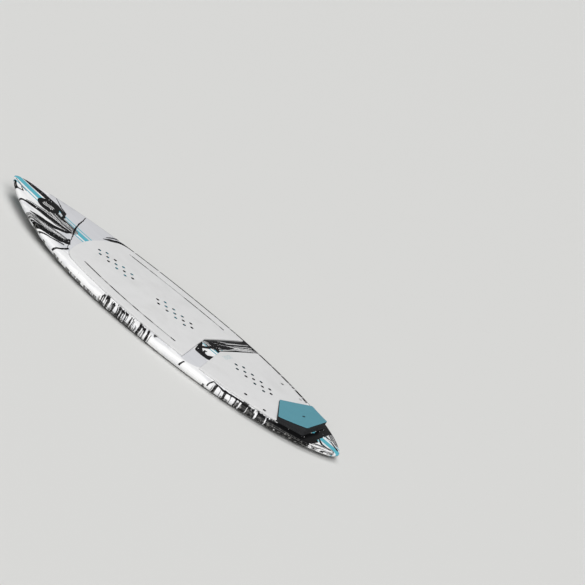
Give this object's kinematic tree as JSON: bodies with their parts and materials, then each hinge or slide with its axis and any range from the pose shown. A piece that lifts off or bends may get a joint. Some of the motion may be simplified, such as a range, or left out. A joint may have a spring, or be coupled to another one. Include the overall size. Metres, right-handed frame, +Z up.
{
  "type": "surf-style wake board",
  "caption": "Wake board of surf shape with a pointed nose, rounded pin tail, foam traction pads on the deck, a raised kick at the tail and fin boxes in the bottom.",
  "frame": {"origin": "middle of the board's length and width, at the lowest point of the bottom", "axes": "+X to the nose, +Y to the port rail, +Z up through the deck"},
  "size_m": [1.5, 0.52, 0.068],
  "materials": {
    "deck_print": "gloss",
    "bottom_print": "gloss",
    "pad_foam": "matte",
    "kick_foam": "matte",
    "kick_cover": "matte",
    "adhesive_film": "satin",
    "core_foam": "matte",
    "insert_foam": "matte",
    "stringer_wood": "matte",
    "fin_box_plastic": "satin",
    "stainless_screw": "satin"
  },
  "bodies": {
    "root": {"deck_skin": "deck_print", "bottom_skin": "bottom_print", "core_port": "core_foam", "core_starboard": "core_foam", "stringer": "stringer_wood", "fin_insert_port": "insert_foam", "fin_insert_starboard": "insert_foam", "fin_insert_centre": "insert_foam", "fin_box_port": "fin_box_plastic", "fin_box_starboard": "fin_box_plastic", "fin_box_centre": "fin_box_plastic", "fin_box_screws": "stainless_screw", "front_pad_adhesive": "adhesive_film", "rear_pad_adhesive": "adhesive_film", "front_pad": "pad_foam", "rear_pad": "pad_foam", "kick_block": "kick_foam", "kick_top": "kick_cover"}
  },
  "joints": []
}
